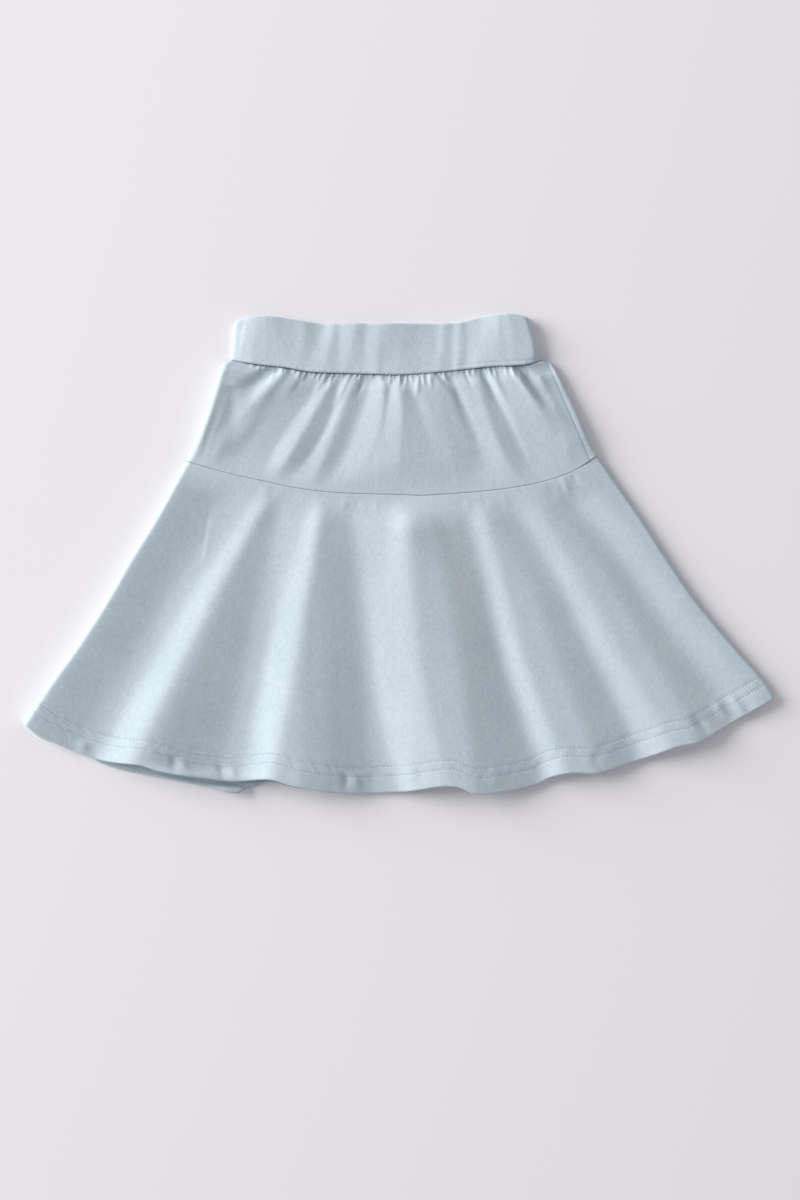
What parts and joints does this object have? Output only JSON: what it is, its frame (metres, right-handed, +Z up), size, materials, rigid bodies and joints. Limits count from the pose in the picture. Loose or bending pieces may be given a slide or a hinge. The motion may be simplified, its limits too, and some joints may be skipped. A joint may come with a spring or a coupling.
{
  "type": "child's flared skort",
  "caption": "Child's flared skort in light blue cotton knit with elastic waist, gathered yoke, fluted flounce and inner shorts, laid flat.",
  "frame": {"origin": "middle of the garment's plan, on the surface that it lies on", "axes": "+X across the garment towards the picture's right, the longest extent; +Y from the hem to the waist; +Z up from the surface, the shortest extent"},
  "size_m": [0.5256, 0.3348, 0.016],
  "materials": {
    "knit": "soft matt cotton jersey, light blue, fine wales down the panels",
    "band_knit": "the same jersey over elastic, softly rippled",
    "shorts_knit": "thin matt cotton jersey, light blue"
  },
  "bodies": {
    "root": {"waistband_front": "band_knit", "waistband_back": "band_knit", "yoke_front": "knit", "yoke_back": "knit", "flounce_front_1": "knit", "flounce_front_2": "knit", "flounce_front_3": "knit", "flounce_front_4": "knit", "flounce_front_5": "knit", "flounce_front_6": "knit", "flounce_back": "knit", "shorts_left_leg": "shorts_knit", "shorts_right_leg": "shorts_knit"}
  },
  "joints": []
}
